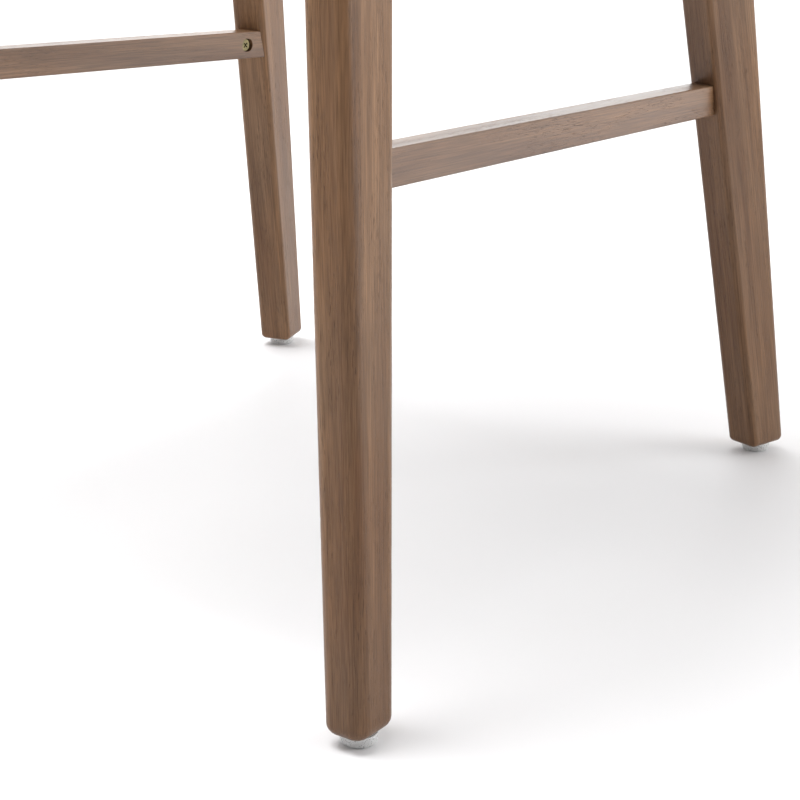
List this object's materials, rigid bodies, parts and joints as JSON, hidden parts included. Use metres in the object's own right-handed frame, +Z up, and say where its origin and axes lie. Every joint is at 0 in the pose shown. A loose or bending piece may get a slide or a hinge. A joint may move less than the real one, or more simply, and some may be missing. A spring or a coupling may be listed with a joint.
{
  "type": "bar stool",
  "caption": "Splayed-leg wooden bar stool with a footrest rail, low side stretchers and an upholstered seat with a low curved back.",
  "frame": {"origin": "on the floor, at the centre of the stool's extents in X and Y", "axes": "+Z up, +Y from the front (footrest side) to the rear, +X to the right as seen from the front"},
  "size_m": [0.5132, 0.5599, 0.9515],
  "materials": {
    "stained_wood": "satin stain, open grain",
    "raw_wood": "sanded, unfinished",
    "plywood": "sanded plywood",
    "glide_plastic": "translucent",
    "zinc_steel": "zinc plated",
    "brass_fitting": "yellow zinc, satin",
    "foam": "open-cell foam",
    "upholstery": "plain woven linen look",
    "dust_cloth": "non-woven"
  },
  "bodies": {
    "root": {"apron_dowels": "raw_wood", "apron_front": "stained_wood", "apron_left": "stained_wood", "apron_rear": "stained_wood", "apron_right": "stained_wood", "back_bolts": "zinc_steel", "back_cover": "upholstery", "back_foam": "foam", "back_shell": "plywood", "corner_blocks": "raw_wood", "dust_cover": "dust_cloth", "front_footrest_rail": "stained_wood", "glide_front_left": "glide_plastic", "glide_front_right": "glide_plastic", "glide_nails": "zinc_steel", "glide_rear_left": "glide_plastic", "glide_rear_right": "glide_plastic", "leg_front_left": "stained_wood", "leg_front_right": "stained_wood", "leg_rear_left": "stained_wood", "leg_rear_right": "stained_wood", "rail_cam_bolts": "zinc_steel", "rail_cam_nuts": "brass_fitting", "rear_stretcher": "stained_wood", "seat_cover": "upholstery", "seat_foam": "foam", "seat_panel": "plywood", "seat_screws": "zinc_steel", "side_stretcher_left": "stained_wood", "side_stretcher_right": "stained_wood"}
  },
  "joints": []
}
